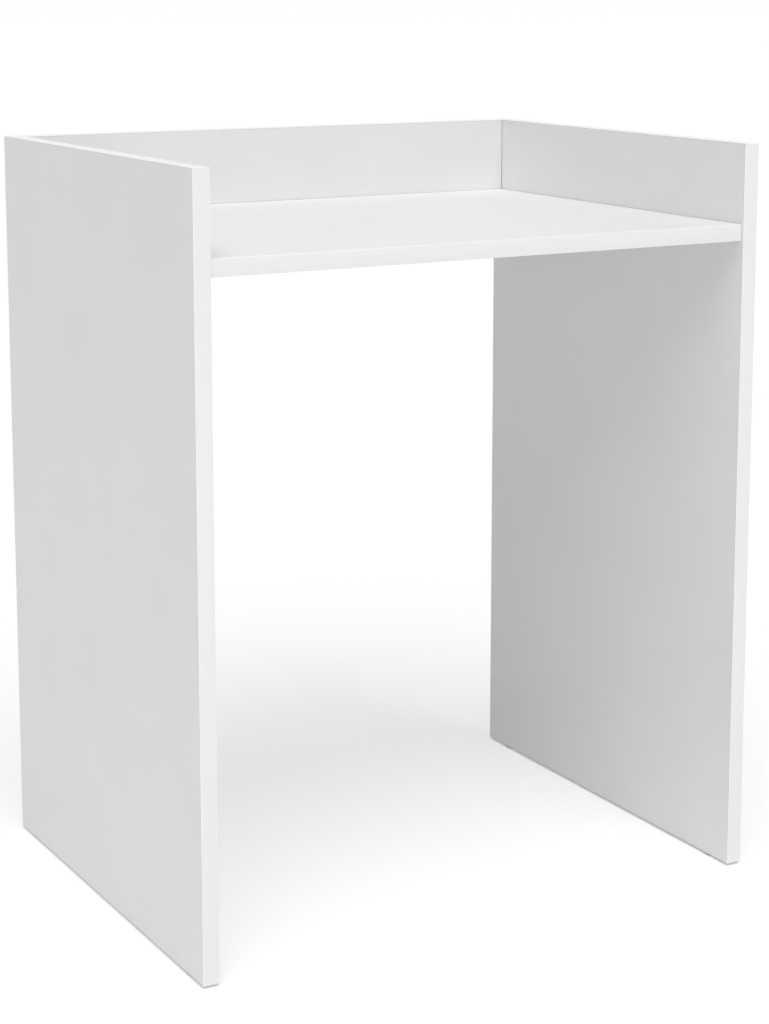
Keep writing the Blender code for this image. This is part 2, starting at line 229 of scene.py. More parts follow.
def stacked(name, outlines, heights, axis=2):
    """A closed surface of outlines stacked along an axis.

    An outline is a row of complex numbers in the two axes after that one. A point in the middle of the
    first outline closes one end, and one in the middle of the last closes the other.
    """
    outlines = np.asarray(outlines)
    middles = outlines[[0, -1]].mean(axis=1, keepdims=True)
    caps = np.broadcast_to(middles, outlines[[0, -1]].shape)
    rows = np.concatenate([caps[:1], outlines, caps[1:]])
    levels = np.concatenate([heights[:1], heights, heights[-1:]])
    grid = np.empty((*rows.shape, 3))
    grid[..., axis] = levels[:, None]
    grid[..., (axis + 1) % 3] = rows.real
    grid[..., (axis + 2) % 3] = rows.imag
    return mesh_from_grid(name, grid)


def oblong(low_pair, high_pair):
    """The four corners of an oblong, as complex numbers."""
    left, front = low_pair
    right, back = high_pair
    corners = (complex(left, front), complex(right, front), complex(right, back), complex(left, back))
    return np.array(corners)


def carved(mesh, cutters, lip=0.0):
    """The mesh less each cutter. Where a lip is given, it breaks every sharp edge."""
    tools = [bpy.data.objects.new(part.name, part) for part in (mesh, *cutters)]
    for tool in tools:
        bpy.context.scene.collection.objects.link(tool)
    for tool in tools[1:]:
        cut = tools[0].modifiers.new(tool.name, "BOOLEAN")
        cut.object = tool
        cut.solver = "MANIFOLD"
    if lip:
        edge = tools[0].modifiers.new("lip", "BEVEL")
        edge.width = lip
        edge.segments = lip_steps
        edge.angle_limit = smooth_angle
        edge.harden_normals = True
    bpy.context.view_layer.update()
    cut_object = tools[0].evaluated_get(bpy.context.evaluated_depsgraph_get())
    made = bpy.data.meshes.new_from_object(cut_object)
    name = mesh.name
    for tool in tools:
        bpy.data.meshes.remove(tool.data)
    if not lip:
        made.set_sharp_from_angle(angle=smooth_angle)
    made.materials.clear()
    made.name = name
    return made


def box_of(node):
    """A node's lowest and highest corners, as arrays."""
    return (np.array(corner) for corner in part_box(node))


def bore(board, axis, way, spot, end, radius):
    """A drill's cutter into a board: a cylinder through the spot, from past the mouth to the bore's end.

    The mouth is the face of the board's box that the drill meets first. The cylinder flares there, as the
    bit breaks the edge.
    """
    low_corner, high_corner = box_of(board)
    mouth = low_corner[axis] if way > 0 else high_corner[axis]
    circle = np.exp(2j * math.pi * np.arange(bore_columns) / bore_columns)
    middle_mark = complex(spot[(axis + 1) % 3], spot[(axis + 2) % 3])
    radii = np.array([radius + mouth_break, radius + mouth_break, radius, radius])
    heights = np.array([mouth - way * cutter_overrun, mouth, mouth + way * mouth_break, end])
    return stacked("bore", middle_mark + radii[:, None] * circle, heights, axis)


def drilled_bores():
    """Every board's bores, each from the piece that it is drilled for and the gap kept round that piece.

    A bolt or a dowel runs from a bore in the wall, a board's face, into one in the edge of its home board.
    A cam lies in a bore in its home board's face, and a nail goes up through a band into a side.
    """
    bores = {name: [] for name in frame["nodes"]}
    for node in frame["nodes"]:
        low_corner, high_corner = box_of(node)
        size = high_corner - low_corner
        spot = (low_corner + high_corner) / 2
        home = "top_shelf" if node.startswith("shelf") else "back_board"
        if "_bolt_" in node or "_dowel_" in node:
            axis = int(size.argmax())
            way = 1 if axis == 1 else int(np.sign(spot[0]))
            wall = "back_board" if axis == 1 else "right_side_panel" if way > 0 else "left_side_panel"
            ends = spot[axis] + way * size[axis] / 2 * np.array([1, -1])
            wall_end, home_end = ends + way * bore_end_gap * np.array([1, -1])
            wall_radius = thread_radius if "_bolt_" in node else size.min() / 2
            bores[wall].append(bore(wall, axis, way, spot, wall_end, wall_radius + bore_clearance))
            bores[home].append(bore(home, axis, -way, spot, home_end, size.min() / 2 + bore_clearance))
        elif "_cam_" in node:
            axis = int(size.argmax())
            way = 1 if home == "top_shelf" else -1
            end = spot[axis] + way * (size[axis] / 2 + bore_clearance)
            bores[home].append(bore(home, axis, way, spot, end, size.min() / 2 + bore_clearance))
        elif node.startswith("glide_nail"):
            side = "left_side" if spot[0] < 0 else "right_side"
            end = high_corner[2] + bore_end_gap
            for nailed in (f"{side}_panel", f"{side}_bottom_band"):
                bores[nailed].append(bore(nailed, 2, 1, spot, end, nail_shank_radius + bore_clearance))
    return bores


def board_mesh(name, node, axis, low_arris, high_arris):
    """A board with its bores. Its outline is drawn in at the faces, by each edge's arris less the depth."""
    low_corner, high_corner = box_of(node)
    across_axes = [(axis + 1) % 3, (axis + 2) % 3]
    depths = np.array([0, flush_arris, broken_arris])
    outlines = []
    for depth in (*depths, *depths[::-1]):
        low_pair = low_corner[across_axes] + np.maximum(low_arris - depth, 0)
        high_pair = high_corner[across_axes] - np.maximum(high_arris - depth, 0)
        outlines.append(oblong(low_pair, high_pair))
    heights = np.concatenate([low_corner[axis] + depths, high_corner[axis] - depths[::-1]])
    return carved(stacked(name, outlines, heights, axis), bores[node])


def add_piece(mesh, material, body, node):
    """Adds a piece that rides on a body and stands for a CAD node."""
    piece = bpy.data.objects.new(mesh.name, mesh)
    bpy.context.scene.collection.objects.link(piece)
    mesh.materials.append(material)
    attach(piece, body)
    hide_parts(node)


bores = drilled_bores()
side_finish = melamine_faced_chipboard("melamine_faced_chipboard_sides", 0)
shelf_finish = melamine_faced_chipboard("melamine_faced_chipboard_shelf", 2)
rear_finish = melamine_faced_chipboard("melamine_faced_chipboard_back", 1)
flush_pair = np.array([flush_arris, flush_arris])
sawn_pair = np.array([broken_arris, broken_arris])
rear_pair = np.array([flush_arris, broken_arris])

# A board's piece, its node, its finish, its thickness axis, and the arrises of its low and high edges along
# the next two axes: flush under a band, and broken where the edge is sawn
board_runs = [
    ("left_side_board", "left_side_panel", side_finish, 0, flush_pair, flush_pair),
    ("right_side_board", "right_side_panel", side_finish, 0, flush_pair, flush_pair),
    ("shelf_board", "top_shelf", shelf_finish, 2, rear_pair[::-1], sawn_pair),
    ("rear_board", "back_board", rear_finish, 1, rear_pair, rear_pair),
]
for name, node, finish, axis, low_arris, high_arris in board_runs:
    board = board_mesh(name, node, axis, low_arris, high_arris)
    add_piece(board, finish, "cabinet", node)


# Edge bands
# Every free edge has a 1 mm strip of white ABS, extruded, glued on hot and cut flush. Its outer arrises are
# rounded to a small radius, which catches light, and are painted near white there as well: a painted
# highlight that draws a thin line of light along every edge of the cabinet.

glue_hairline = 0.00005
scraped_radius = 0.0006
arris_steps = 6
band_pale = "#F0F0F0"
band_deep = "#EDEDED"
pure_white = "#FFFFFF"
band_smooth = 0.26
band_rough = 0.32
scrape_length = 0.09
scrape_pitch = 0.0011
scrape_depth = 0.00001
abs_ior = 1.54

# The start of a band's name, its outer face's axis and way, its length's axis, and whether its ends are eased
band_runs = [
    (f"{side}_side_{edge}", axis, way, along, eased)
    for side in ("left", "right")
    for edge, axis, way, along, eased in (
        ("front", 1, -1, 2, True),
        ("back", 1, 1, 2, True),
        ("top", 2, 1, 1, False),
        ("bottom", 2, -1, 1, False),
    )
]
band_runs += [
    ("shelf_front", 1, -1, 0, True),
    ("back_board_top", 2, 1, 0, True),
    ("back_board_bottom", 2, -1, 0, True),
]


def strip_grid(length, width, thickness, eased_ends):
    """A strip's surface in its own frame: along, across, and outward from the glue line.

    Around the section, the outer corners are quarter circles of the scraped radius. Towards an eased end
    the thickness falls by the same quarter circle: thickness less radius times one less the turn's sine.
    Each end closes on the middle of its section. The third result is each point's share of painted highlight,
    near
    white along the arrises: the sine of twice its turn along the arc.
    """
    turn = np.linspace(0, math.pi / 2, arris_steps + 1) if eased_ends else np.array([math.pi / 2])
    radius = scraped_radius
    run_in = radius * (1 - np.cos(turn)) if eased_ends else np.zeros(1)
    rise = thickness - radius * (1 - np.sin(turn))
    stations = np.concatenate([run_in[:1], run_in, length - run_in[::-1], length - run_in[:1]])
    tops = np.concatenate([rise[:1], rise, rise[::-1], rise[:1]])
    arc = np.linspace(0, math.pi / 2, arris_steps + 1)
    half = width / 2
    near_arc = half - radius + radius * np.cos(arc)
    far_arc = radius - half - radius * np.sin(arc)
    across = np.concatenate([[half], near_arc, far_arc, [-half]])
    drop = np.concatenate([radius * (1 - np.sin(arc)), radius * (1 - np.cos(arc))])
    outward = tops[:, None] - np.concatenate([[0], drop, [0]])[None, :]
    outward[:, [0, -1]] = 0
    grid = np.empty((len(stations), len(across), 3))
    grid[..., 0] = stations[:, None]
    grid[..., 1] = across
    grid[..., 2] = outward
    grid[[0, -1], :, 1] = 0
    grid[[0, -1], :, 2] = (tops[[0, -1]] / 2)[:, None]
    around = np.linspace(0, 2 * (width + thickness), len(across) + 1)
    uv = np.stack(np.broadcast_arrays(stations[:, None], around[None, :]), axis=-1)
    # Each point's share of painted highlight: most halfway round an arris of the section or of an eased end
    section_highlight = np.concatenate([[0], np.sin(2 * arc), np.sin(2 * arc), [0]])
    end_highlight = np.sin(2 * turn)
    run = np.concatenate([[0], end_highlight, end_highlight[::-1], [0]])
    return grid, uv, np.maximum(section_highlight[None, :], run[:, None])


def scraped_abs_band():
    """White ABS band. It is smoother than the boards, with faint scraper lines that run along its length.

    The arrises are mixed towards pure white, a painted highlight along each edge. The lines are drawn 1 mm
    apart, coarser than the real ones, so that they can just be seen.
    """
    made, tree, shader = new_finish("scraped_abs_edge_band_painted_highlight")
    place = add_node(tree, "ShaderNodeTexCoord")
    along = add_node(
        tree,
        "ShaderNodeMapping",
        {"Vector": place.outputs["UV"], "Scale": (1 / scrape_length, 1 / scrape_pitch, 1.0)},
    )
    lines = add_node(tree, "ShaderNodeTexNoise", {"Vector": along.outputs[0], "Scale": 1.0})
    tone = add_node(
        tree,
        "ShaderNodeMix",
        {0: lines.outputs["Fac"], 6: linear(band_pale), 7: linear(band_deep)},
        data_type="RGBA",
    )
    # Painted highlight: the arrises are mixed towards pure white by their share
    arris_highlight = add_node(tree, "ShaderNodeAttribute", attribute_name="arris_highlight")
    highlighted_tone = add_node(
        tree,
        "ShaderNodeMix",
        {0: arris_highlight.outputs["Fac"], 6: tone.outputs[2], 7: linear(pure_white)},
        data_type="RGBA",
    )
    sheen = add_node(
        tree,
        "ShaderNodeMapRange",
        {"Value": lines.outputs["Fac"], "To Min": band_smooth, "To Max": band_rough},
    )
    bump = add_node(tree, "ShaderNodeBump", {"Height": lines.outputs["Fac"], "Distance": scrape_depth})
    tree.links.new(highlighted_tone.outputs[2], shader.inputs["Base Color"])
    tree.links.new(sheen.outputs[0], shader.inputs["Roughness"])
    tree.links.new(bump.outputs[0], shader.inputs["Normal"])
    shader.inputs["IOR"].default_value = abs_ior
    return made


band_finish = scraped_abs_band()
glue_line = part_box("left_side_panel")[0].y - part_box("left_side_front_band")[1].y
closing = glue_line - glue_hairline
for start, axis, way, along, eased in band_runs:
    low, high = box_of(f"{start}_band")
    across_axis = 3 - axis - along
    thickness = high[axis] - low[axis] + closing
    length = high[along] - low[along] + (0 if eased else 2 * closing)
    # The strip comes with each point's share of painted highlight
    strip, uv, arris_highlight = strip_grid(length, high[across_axis] - low[across_axis], thickness, eased)
    placed = np.empty_like(strip)
    placed[..., along] = strip[..., 0] + (low[along] + high[along] - length) / 2
    placed[..., across_axis] = strip[..., 1] + (low[across_axis] + high[across_axis]) / 2
    outer = high[axis] if way > 0 else low[axis]
    placed[..., axis] = outer + way * (strip[..., 2] - thickness)
    band = mesh_from_grid(f"{start}_edge_band", placed, uv, arris_highlight)
    if bores[f"{start}_band"]:
        band = carved(band, bores[f"{start}_band"])
    add_piece(band, band_finish, "cabinet", f"{start}_band")


# Cams
# Ten die-cast zinc cams, 15 mm across, lie in bores in the shelf's underside and the back board's back. As
# a driver turns one half round, the spiral hook under its cap draws a bolt's ball head and the board in.

cam_columns = 96
cam_cap_ease = 0.0005
ease_steps = 4
ball_room = 0.0039
neck_room = 0.0027
hook_rise = 0.0014
cross_reach = 0.0036
cross_width = 0.0015
cross_depth = 0.0024
cross_taper_share = 0.72
arrow_reach = 0.0062
arrow_length = 0.0016
arrow_width = 0.0020
arrow_depth = 0.0004
cast_lip = 0.00007
zinc_dark = "#8C8E91"
zinc_light = "#B4B6B8"
zinc_smooth = 0.30
zinc_rough = 0.52
cast_grain = 0.0006
cast_flow = 0.005
flow_detail = 3.0
cast_depth = 0.00003


def eased_outline(corners, ease):
    """An outline of (radius, height) corners, with each inner corner turned into a curve.

    The curve is quadratic: it leaves one ease before the corner, is drawn to it, and ends one ease after
    it. An ease is at most half of the shorter run beside it.
    """
    corners = np.asarray(corners, float)
    runs = np.diff(corners, axis=0)
    lengths = np.linalg.norm(runs, axis=1)
    reach = np.minimum(ease, np.minimum(lengths[:-1], lengths[1:]) / 2)[:, None, None]
    ways = (runs / lengths[:, None])[:, None]
    share = np.linspace(0, 1, ease_steps + 1)[None, :, None]
    curves = corners[1:-1, None] - reach * ways[:-1] * (1 - share) ** 2 + reach * ways[1:] * share**2
    return np.concatenate([corners[:1], curves.reshape(-1, 2), corners[-1:]])


def turned_grid(radii, heights):
    """A turned surface: rings of the given radii, shaped (rings, columns), stepped evenly round +Z.

    UV is in metres: along the outline, and round the axis at the widest ring.
    """
    columns = radii.shape[1]
    turn = np.arange(columns) / columns * 2 * math.pi
    rings = np.broadcast_to(heights[:, None], radii.shape)
    grid = np.stack([radii * np.cos(turn), radii * np.sin(turn), rings], axis=-1)
    steps = np.hypot(np.diff(radii.mean(axis=1)), np.diff(heights))
    along = np.concatenate([[0], np.cumsum(steps)])
    around = np.linspace(0, 2 * math.pi * radii.max(), columns + 1)
    return grid, np.stack(np.broadcast_arrays(along[:, None], around[None, :]), axis=-1)


def seated(mesh, name, spot, up, outward):
    """A copy of a mesh, with its own +Z turned to up, its +X to outward, and its origin at the spot."""
    up = Vector(up).normalized()
    outward = (Vector(outward) - up * up.dot(Vector(outward))).normalized()
    turn = Matrix((outward, up.cross(outward), up)).transposed().to_4x4()
    copy = mesh.copy()
    copy.name = name
    copy.transform(Matrix.Translation(spot) @ turn)
    return copy


def middle(node):
    """The middle of a node's box."""
    low_corner, high_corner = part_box(node)
    return (low_corner + high_corner) / 2


def die_cast_zinc():
    """Zinc alloy from the tumbling drum: light grey and half matt, with the cloudy skin of a casting."""
    made, tree, shader = new_finish("die_cast_zinc")
    spot = add_node(tree, "ShaderNodeTexCoord").outputs["Object"]
    flow = add_node(
        tree, "ShaderNodeTexNoise", {"Vector": spot, "Scale": 1 / cast_flow, "Detail": flow_detail}
    )
    grain = add_node(tree, "ShaderNodeTexNoise", {"Vector": spot, "Scale": 1 / cast_grain})
    tone = add_node(
        tree,
        "ShaderNodeMix",
        {0: flow.outputs["Fac"], 6: linear(zinc_dark), 7: linear(zinc_light)},
        data_type="RGBA",
    )
    dull = add_node(
        tree,
        "ShaderNodeMapRange",
        {"Value": grain.outputs["Fac"], "To Min": zinc_smooth, "To Max": zinc_rough},
    )
    bump = add_node(tree, "ShaderNodeBump", {"Height": grain.outputs["Fac"], "Distance": cast_depth})
    tree.links.new(tone.outputs[2], shader.inputs["Base Color"])
    tree.links.new(dull.outputs[0], shader.inputs["Roughness"])
    tree.links.new(bump.outputs[0], shader.inputs["Normal"])
    shader.inputs["Metallic"].default_value = 1.0
    return made


def cam_mesh(radius, height, axis_height):
    """A cam in its own frame: its cap's face at zero, its body below, and its bolt along +X when locked.

    Five tools cut a turned blank. The hollow's radius is the ball's room plus the hook's rise times the
    share of a half turn from +X. The slot lets the bolt's neck pass as the cam turns, and the window at -X
    lets the ball head in. The driver's cross narrows towards its bottom, and an arrow in the cap points at
    the window.
    """
    below = -height - cutter_overrun
    outside = radius + cutter_overrun
    ceiling = axis_height + ball_room
    outline = eased_outline([(0, -height), (radius, -height), (radius, 0), (0, 0)], cam_cap_ease)
    radii = np.repeat(outline[:, :1], cam_columns, axis=1)
    blank = mesh_from_grid("cam_blank", *turned_grid(radii, outline[:, 1]))
    blank.transform(Matrix.Rotation(math.pi / cam_columns, 4, "Z"))
    turn = np.arange(cam_columns) / cam_columns * 2 * math.pi
    spiral = (ball_room + hook_rise * (1 - np.abs(turn - math.pi) / math.pi)) * np.exp(1j * turn)
    neck_slot = oblong((-outside, -outside), (outside, neck_room))
    window = oblong((-outside, -ball_room), (-ball_room / 2, ball_room))
    half = cross_width / 2
    arm = np.array([complex(half, half), complex(half, cross_reach), complex(-half, cross_reach)])
    cross = (1j ** np.arange(4)[:, None] * arm).ravel()
    arrow_foot = arrow_length - arrow_reach
    arrow = [-arrow_reach, complex(arrow_foot, -arrow_width / 2), complex(arrow_foot, arrow_width / 2)]
    cutters = [
        stacked("hollow", [spiral, spiral], np.array([below, ceiling])),
        stacked("neck_slot", [neck_slot, neck_slot], axis_height + neck_room * np.array([-1, 1])),
        stacked("window", [window, window], np.array([below, ceiling])),
        stacked("cross", [cross * cross_taper_share, cross], np.array([-cross_depth, cutter_overrun])),
        stacked("arrow", [arrow, arrow], np.array([-arrow_depth, cutter_overrun])),
    ]
    return carved(blank, cutters, cast_lip)


joints = {joint["child"]: joint for joint in frame["joints"]}
first_cam = "shelf_cam_left_front"
first_low, first_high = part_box(first_cam)
cap_to_bolt = middle("shelf_bolt_left_front") - Vector(joints[first_cam]["pos_m"])
axis_height = Vector(joints[first_cam]["axis"]).dot(cap_to_bolt)
cam = cam_mesh((first_high.x - first_low.x) / 2, first_high.z - first_low.z, axis_height)
cast_zinc = die_cast_zinc()
for node, joint in joints.items():
    outward = middle(node.replace("cam", "bolt")) - Vector(joint["pos_m"])
    casting = seated(cam, node.replace("cam", "zinc_cam"), joint["pos_m"], joint["axis"], outward)
    add_piece(casting, cast_zinc, node, node)


# Bolts
# Zinc plated steel bolts, turned from bar. A rolled chipboard thread holds each in the face of one board,
# up to its collar, and the neck and ball head reach through the edge of the next board into the cam.

bolt_columns = 48
bolt_ease = 0.0002
bolt_reach = 0.034
collar_top = 0.0015
collar_seat = 0.0003
shank_radius = 0.0028
neck_radius = 0.0022
neck_start = 0.0263
ball_radius = 0.0034
ball_steps = 14
socket_radius = 0.0012
socket_depth = 0.0018
socket_lobe_share = 0.22
thread_core = 0.0018
thread_pitch = 0.0018
thread_crest_share = 0.16
thread_rows = 100
tip_length = 0.0018
tip_core_share = 0.35
plating_dark = "#B4BAC0"
plating_light = "#D6D9D9"
plating_smooth = 0.20
plating_rough = 0.36
turning_mark = 0.00035
plating_cloud = 0.004
plating_depth = 0.000015


def thread_radii(heights, turn):
    """A rolled thread's radius: a ridge on the core climbs one pitch a turn, and fades out at the tip.

    The ridge rises and falls evenly with the height left in the pitch, and its crest is cut flat. Over the
    tip's length the core's squared radius grows evenly from its share at the end.
    """
    phase = (heights[:, None] / thread_pitch - turn / (2 * math.pi)) % 1
    ridge = np.clip(1 + thread_crest_share - np.abs(2 * phase - 1) * (2 + thread_crest_share), 0, 1)
    grown = np.clip((heights - heights[0]) / tip_length, 0, 1)[:, None]
    core = thread_core * np.sqrt(tip_core_share + (1 - tip_core_share) * grown)
    return core + (thread_radius - thread_core) * ridge * grown


def bolt_grid():
    """A bolt along +Z: its thread, then its collar, shank, neck and ball, then a socket with four lobes.

    The socket's radius is less its lobes' share times the squared sine of twice the turn.
    """
    bolt_low, bolt_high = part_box("shelf_bolt_left_front")
    length = bolt_high.x - bolt_low.x
    collar_radius = (bolt_high.z - bolt_low.z) / 2
    turn = np.arange(bolt_columns) / bolt_columns * 2 * math.pi
    first = math.asin(neck_radius / ball_radius)
    last = math.pi - math.asin(socket_radius / ball_radius)
    tip = bolt_reach - ball_radius * math.cos(last)
    thread_heights = np.linspace(tip - length, collar_seat, thread_rows)
    body = eased_outline(
        [
            (thread_core, collar_seat),
            (collar_radius, collar_seat),
            (collar_radius, collar_top),
            (shank_radius, collar_top),
            (shank_radius, neck_start - shank_radius + neck_radius),
            (neck_radius, neck_start),
            (neck_radius, bolt_reach - ball_radius * math.cos(first)),
        ],
        bolt_ease,
    )
    angle = np.linspace(first, last, ball_steps)
    ball = np.stack([ball_radius * np.sin(angle), bolt_reach - ball_radius * np.cos(angle)], axis=-1)
    plain = np.concatenate([body, ball])
    lobes = 1 - socket_lobe_share * np.sin(2 * turn) ** 2
    radii = np.concatenate(
        [
            np.zeros((1, bolt_columns)),
            thread_radii(thread_heights, turn),
            np.repeat(plain[:, :1], bolt_columns, axis=1),
            [socket_radius * lobes, socket_radius * lobes * (1 - socket_lobe_share)],
            np.zeros((1, bolt_columns)),
        ]
    )
    ends = [tip, tip - socket_depth, tip - socket_depth]
    return turned_grid(radii, np.concatenate([thread_heights[:1], thread_heights, plain[:, 1], ends]))


def zinc_plated_steel():
    """Bright zinc on turned steel: silvery with a blue cast, with fine turning marks round the bolt.

    The marks are drawn a third of a millimetre apart, coarser than the real ones, to show close up.
    """
    made, tree, shader = new_finish("zinc_plated_steel")
    place = add_node(tree, "ShaderNodeTexCoord")
    ring = add_node(
        tree,
        "ShaderNodeMapping",
        {"Vector": place.outputs["UV"], "Scale": (1 / turning_mark, 1 / plating_cloud, 1.0)},
    )
    marks = add_node(tree, "ShaderNodeTexNoise", {"Vector": ring.outputs[0], "Scale": 1.0})
    cloud = add_node(
        tree, "ShaderNodeTexNoise", {"Vector": place.outputs["Object"], "Scale": 1 / plating_cloud}
    )
    tone = add_node(
        tree,
        "ShaderNodeMix",
        {0: cloud.outputs["Fac"], 6: linear(plating_dark), 7: linear(plating_light)},
        data_type="RGBA",
    )
    polish = add_node(
        tree,
        "ShaderNodeMapRange",
        {"Value": marks.outputs["Fac"], "To Min": plating_smooth, "To Max": plating_rough},
    )
    bump = add_node(tree, "ShaderNodeBump", {"Height": marks.outputs["Fac"], "Distance": plating_depth})
    tree.links.new(tone.outputs[2], shader.inputs["Base Color"])
    tree.links.new(polish.outputs[0], shader.inputs["Roughness"])
    tree.links.new(bump.outputs[0], shader.inputs["Normal"])
    shader.inputs["Metallic"].default_value = 1.0
    return made


bolt = mesh_from_grid("cam_bolt", *bolt_grid())
plated_steel = zinc_plated_steel()
for node, joint in joints.items():
    bolt_node = node.replace("cam", "bolt")
    cam_axis = Vector(joint["axis"])
    meeting = Vector(joint["pos_m"]) + cam_axis * axis_height
    inward = (meeting - middle(bolt_node)).normalized()
    name = bolt_node.replace("bolt", "cam_bolt")
    turned_bolt = seated(bolt, name, meeting - inward * bolt_reach, inward, cam_axis)
    add_piece(turned_bolt, plated_steel, "cabinet", bolt_node)


# Dowels
# Beech dowels, 8 by 30 mm, beside the bolts. They are fluted, so that glue and air can pass, and chamfered
# at both ends. They are glued a third into one board's face and slide into the other board's edge.

dowel_columns = 144
flute_count = 18
flute_depth = 0.00022
flute_share = 0.42
dowel_chamfer = 0.0012
dowel_end_reach = 0.0018
dowel_end_rows = 7
beech_dark = "#B98E62"
beech_light = "#E0BD92"
beech_ray = "#A67A50"
beech_smooth = 0.58
beech_rough = 0.74
beech_fibre = 0.0006
fibre_detail = 4.0
beech_streak = 0.011
beech_fleck = 0.0009
fleck_length = 0.0027
fleck_rim_shares = (0.10, 0.22)
beech_depth = 0.00006


def dowel_grid(radius, length):
    """A dowel along +Z from zero. A ring's radius is the lesser of the fluted one and the chamfer's.

    A flute is one wave of a raised cosine over its share of the pitch, with a flat land beside it.
    """
    turn = np.arange(dowel_columns) / dowel_columns * 2 * math.pi
    phase = turn * flute_count / (2 * math.pi) % 1
    groove = np.where(phase < flute_share, (1 - np.cos(2 * math.pi * phase / flute_share)) / 2, 0)
    end = np.linspace(0, dowel_end_reach, dowel_end_rows)
    heights = np.concatenate([end, length - end[::-1]])
    from_end = np.minimum(heights, length - heights)
    chamfered = radius - dowel_chamfer + from_end
    radii = np.minimum(radius - flute_depth * groove[None, :], chamfered[:, None])
    closed = np.concatenate([np.zeros((1, dowel_columns)), radii, np.zeros((1, dowel_columns))])
    return turned_grid(closed, np.concatenate([[0], heights, [length]]))


def steamed_beech():
    """Turned beech: pink brown, with long fibres and short darker ray flecks along the dowel."""
    made, tree, shader = new_finish("steamed_beech")
    place = add_node(tree, "ShaderNodeTexCoord")
    along = add_node(
        tree,
        "ShaderNodeMapping",
        {"Vector": place.outputs["UV"], "Scale": (1 / beech_streak, 1 / beech_fibre, 1.0)},
    )
    fibre = add_node(
        tree, "ShaderNodeTexNoise", {"Vector": along.outputs[0], "Scale": 1.0, "Detail": fibre_detail}
    )
    short = add_node(
        tree,
        "ShaderNodeMapping",
        {"Vector": place.outputs["UV"], "Scale": (1 / fleck_length, 1 / beech_fleck, 1.0)},
    )
    cells = add_node(tree, "ShaderNodeTexVoronoi", {"Vector": short.outputs[0], "Scale": 1.0})
    inner_rim, outer_rim = fleck_rim_shares
    fleck = add_node(
        tree,
        "ShaderNodeMapRange",
        {"Value": cells.outputs["Distance"], "From Min": inner_rim, "From Max": outer_rim},
    )
    wood = add_node(
        tree,
        "ShaderNodeMix",
        {0: fibre.outputs["Fac"], 6: linear(beech_dark), 7: linear(beech_light)},
        data_type="RGBA",
    )
    tone = add_node(
        tree,
        "ShaderNodeMix",
        {0: fleck.outputs[0], 6: linear(beech_ray), 7: wood.outputs[2]},
        data_type="RGBA",
    )
    rough = add_node(
        tree,
        "ShaderNodeMapRange",
        {"Value": fibre.outputs["Fac"], "To Min": beech_smooth, "To Max": beech_rough},
    )
    bump = add_node(tree, "ShaderNodeBump", {"Height": fibre.outputs["Fac"], "Distance": beech_depth})
    tree.links.new(tone.outputs[2], shader.inputs["Base Color"])
    tree.links.new(rough.outputs[0], shader.inputs["Roughness"])
    tree.links.new(bump.outputs[0], shader.inputs["Normal"])
    return made


beech = steamed_beech()
for node in sorted(name for name in frame["nodes"] if "_dowel_" in name):
    low_corner, high_corner = box_of(node)
    size = high_corner - low_corner
    axis = int(size.argmax())
    foot = (low_corner + high_corner) / 2
    foot[axis] = low_corner[axis]
    dowel = mesh_from_grid("dowel", *dowel_grid(size.min() / 2, size[axis]))
    up = np.eye(3)[axis]
    beech_dowel = seated(dowel, node.replace("dowel", "beech_dowel"), foot, up, np.roll(up, 1))
    add_piece(beech_dowel, beech, "cabinet", node)


# Glides and nails
# A round polyethylene glide under each end of a side panel lifts the board off a wet floor. It is moulded
# round a stepped hole, and a ringed steel nail through it is driven up into the panel's lower edge.

glide_columns = 72
glide_arris = 0.0008
glide_ease = 0.0003
glide_hole_radius = 0.0013
glide_step_radius = 0.0027
glide_step_height = 0.0018
nail_columns = 32
nail_ease = 0.0002
nail_head_height = 0.0007
nail_point = 0.0020
nail_tip_radius = 0.0003
nail_ring_pitch = 0.0008
nail_ring_depth = 0.00013
nail_ring_rows = 90
ringed_shares = (0.15, 0.80)
moulding_deep = "#D2D2CE"
moulding_pale = "#E2E2DE"
moulding_smooth = 0.36
moulding_rough = 0.54
moulding_grain = 0.0007
moulding_cloud = 0.006
moulding_depth = 0.00003
polyethylene_ior = 1.51
inner_light_share = 0.12
inner_light_reach = 0.002
wire_dark = "#85888B"
wire_light = "#AEB0B2"
wire_smooth = 0.28
wire_rough = 0.46
wire_mark = 0.0005
wire_mark_length = 0.0020


def glide_grid(radius, height):
    """A glide's ring: a closed outline of its foot, rim, top and stepped hole, carried round the axis."""
    outline = eased_outline(
        [
            (glide_step_radius, glide_step_height / 2),
            (glide_step_radius, 0),
            (radius - glide_arris / 2, 0),
            (radius, glide_arris),
            (radius, height),
            (glide_hole_radius, height),
            (glide_hole_radius, glide_step_height),
            (glide_step_radius, glide_step_height),
            (glide_step_radius, glide_step_height / 2),
        ],
        glide_ease,
    )
    return turned_grid(np.repeat(outline[:, :1], glide_columns, axis=1), outline[:, 1])


def nail_grid(head_radius, length):
    """A nail along +Z from its head: a plain shank, a ringed stretch and a point.

    On the ringed stretch the radius falls by the ring's depth along each pitch and then steps out again.
    """
    foot, shoulder = (share * length for share in ringed_shares)
    outline = eased_outline(
        [
            (0, 0),
            (head_radius, 0),
            (head_radius, nail_head_height),
            (nail_shank_radius, nail_head_height),
            (nail_shank_radius, foot),
        ],
        nail_ease,
    )
    ring_heights = np.linspace(foot, shoulder, nail_ring_rows)
    rings = nail_shank_radius - nail_ring_depth * ((ring_heights - foot) / nail_ring_pitch % 1)
    point = [(nail_shank_radius, length - nail_point), (nail_tip_radius, length), (0, length)]
    outline = np.concatenate([outline, np.stack([rings, ring_heights], axis=-1), point])
    return turned_grid(np.repeat(outline[:, :1], nail_columns, axis=1), outline[:, 1])


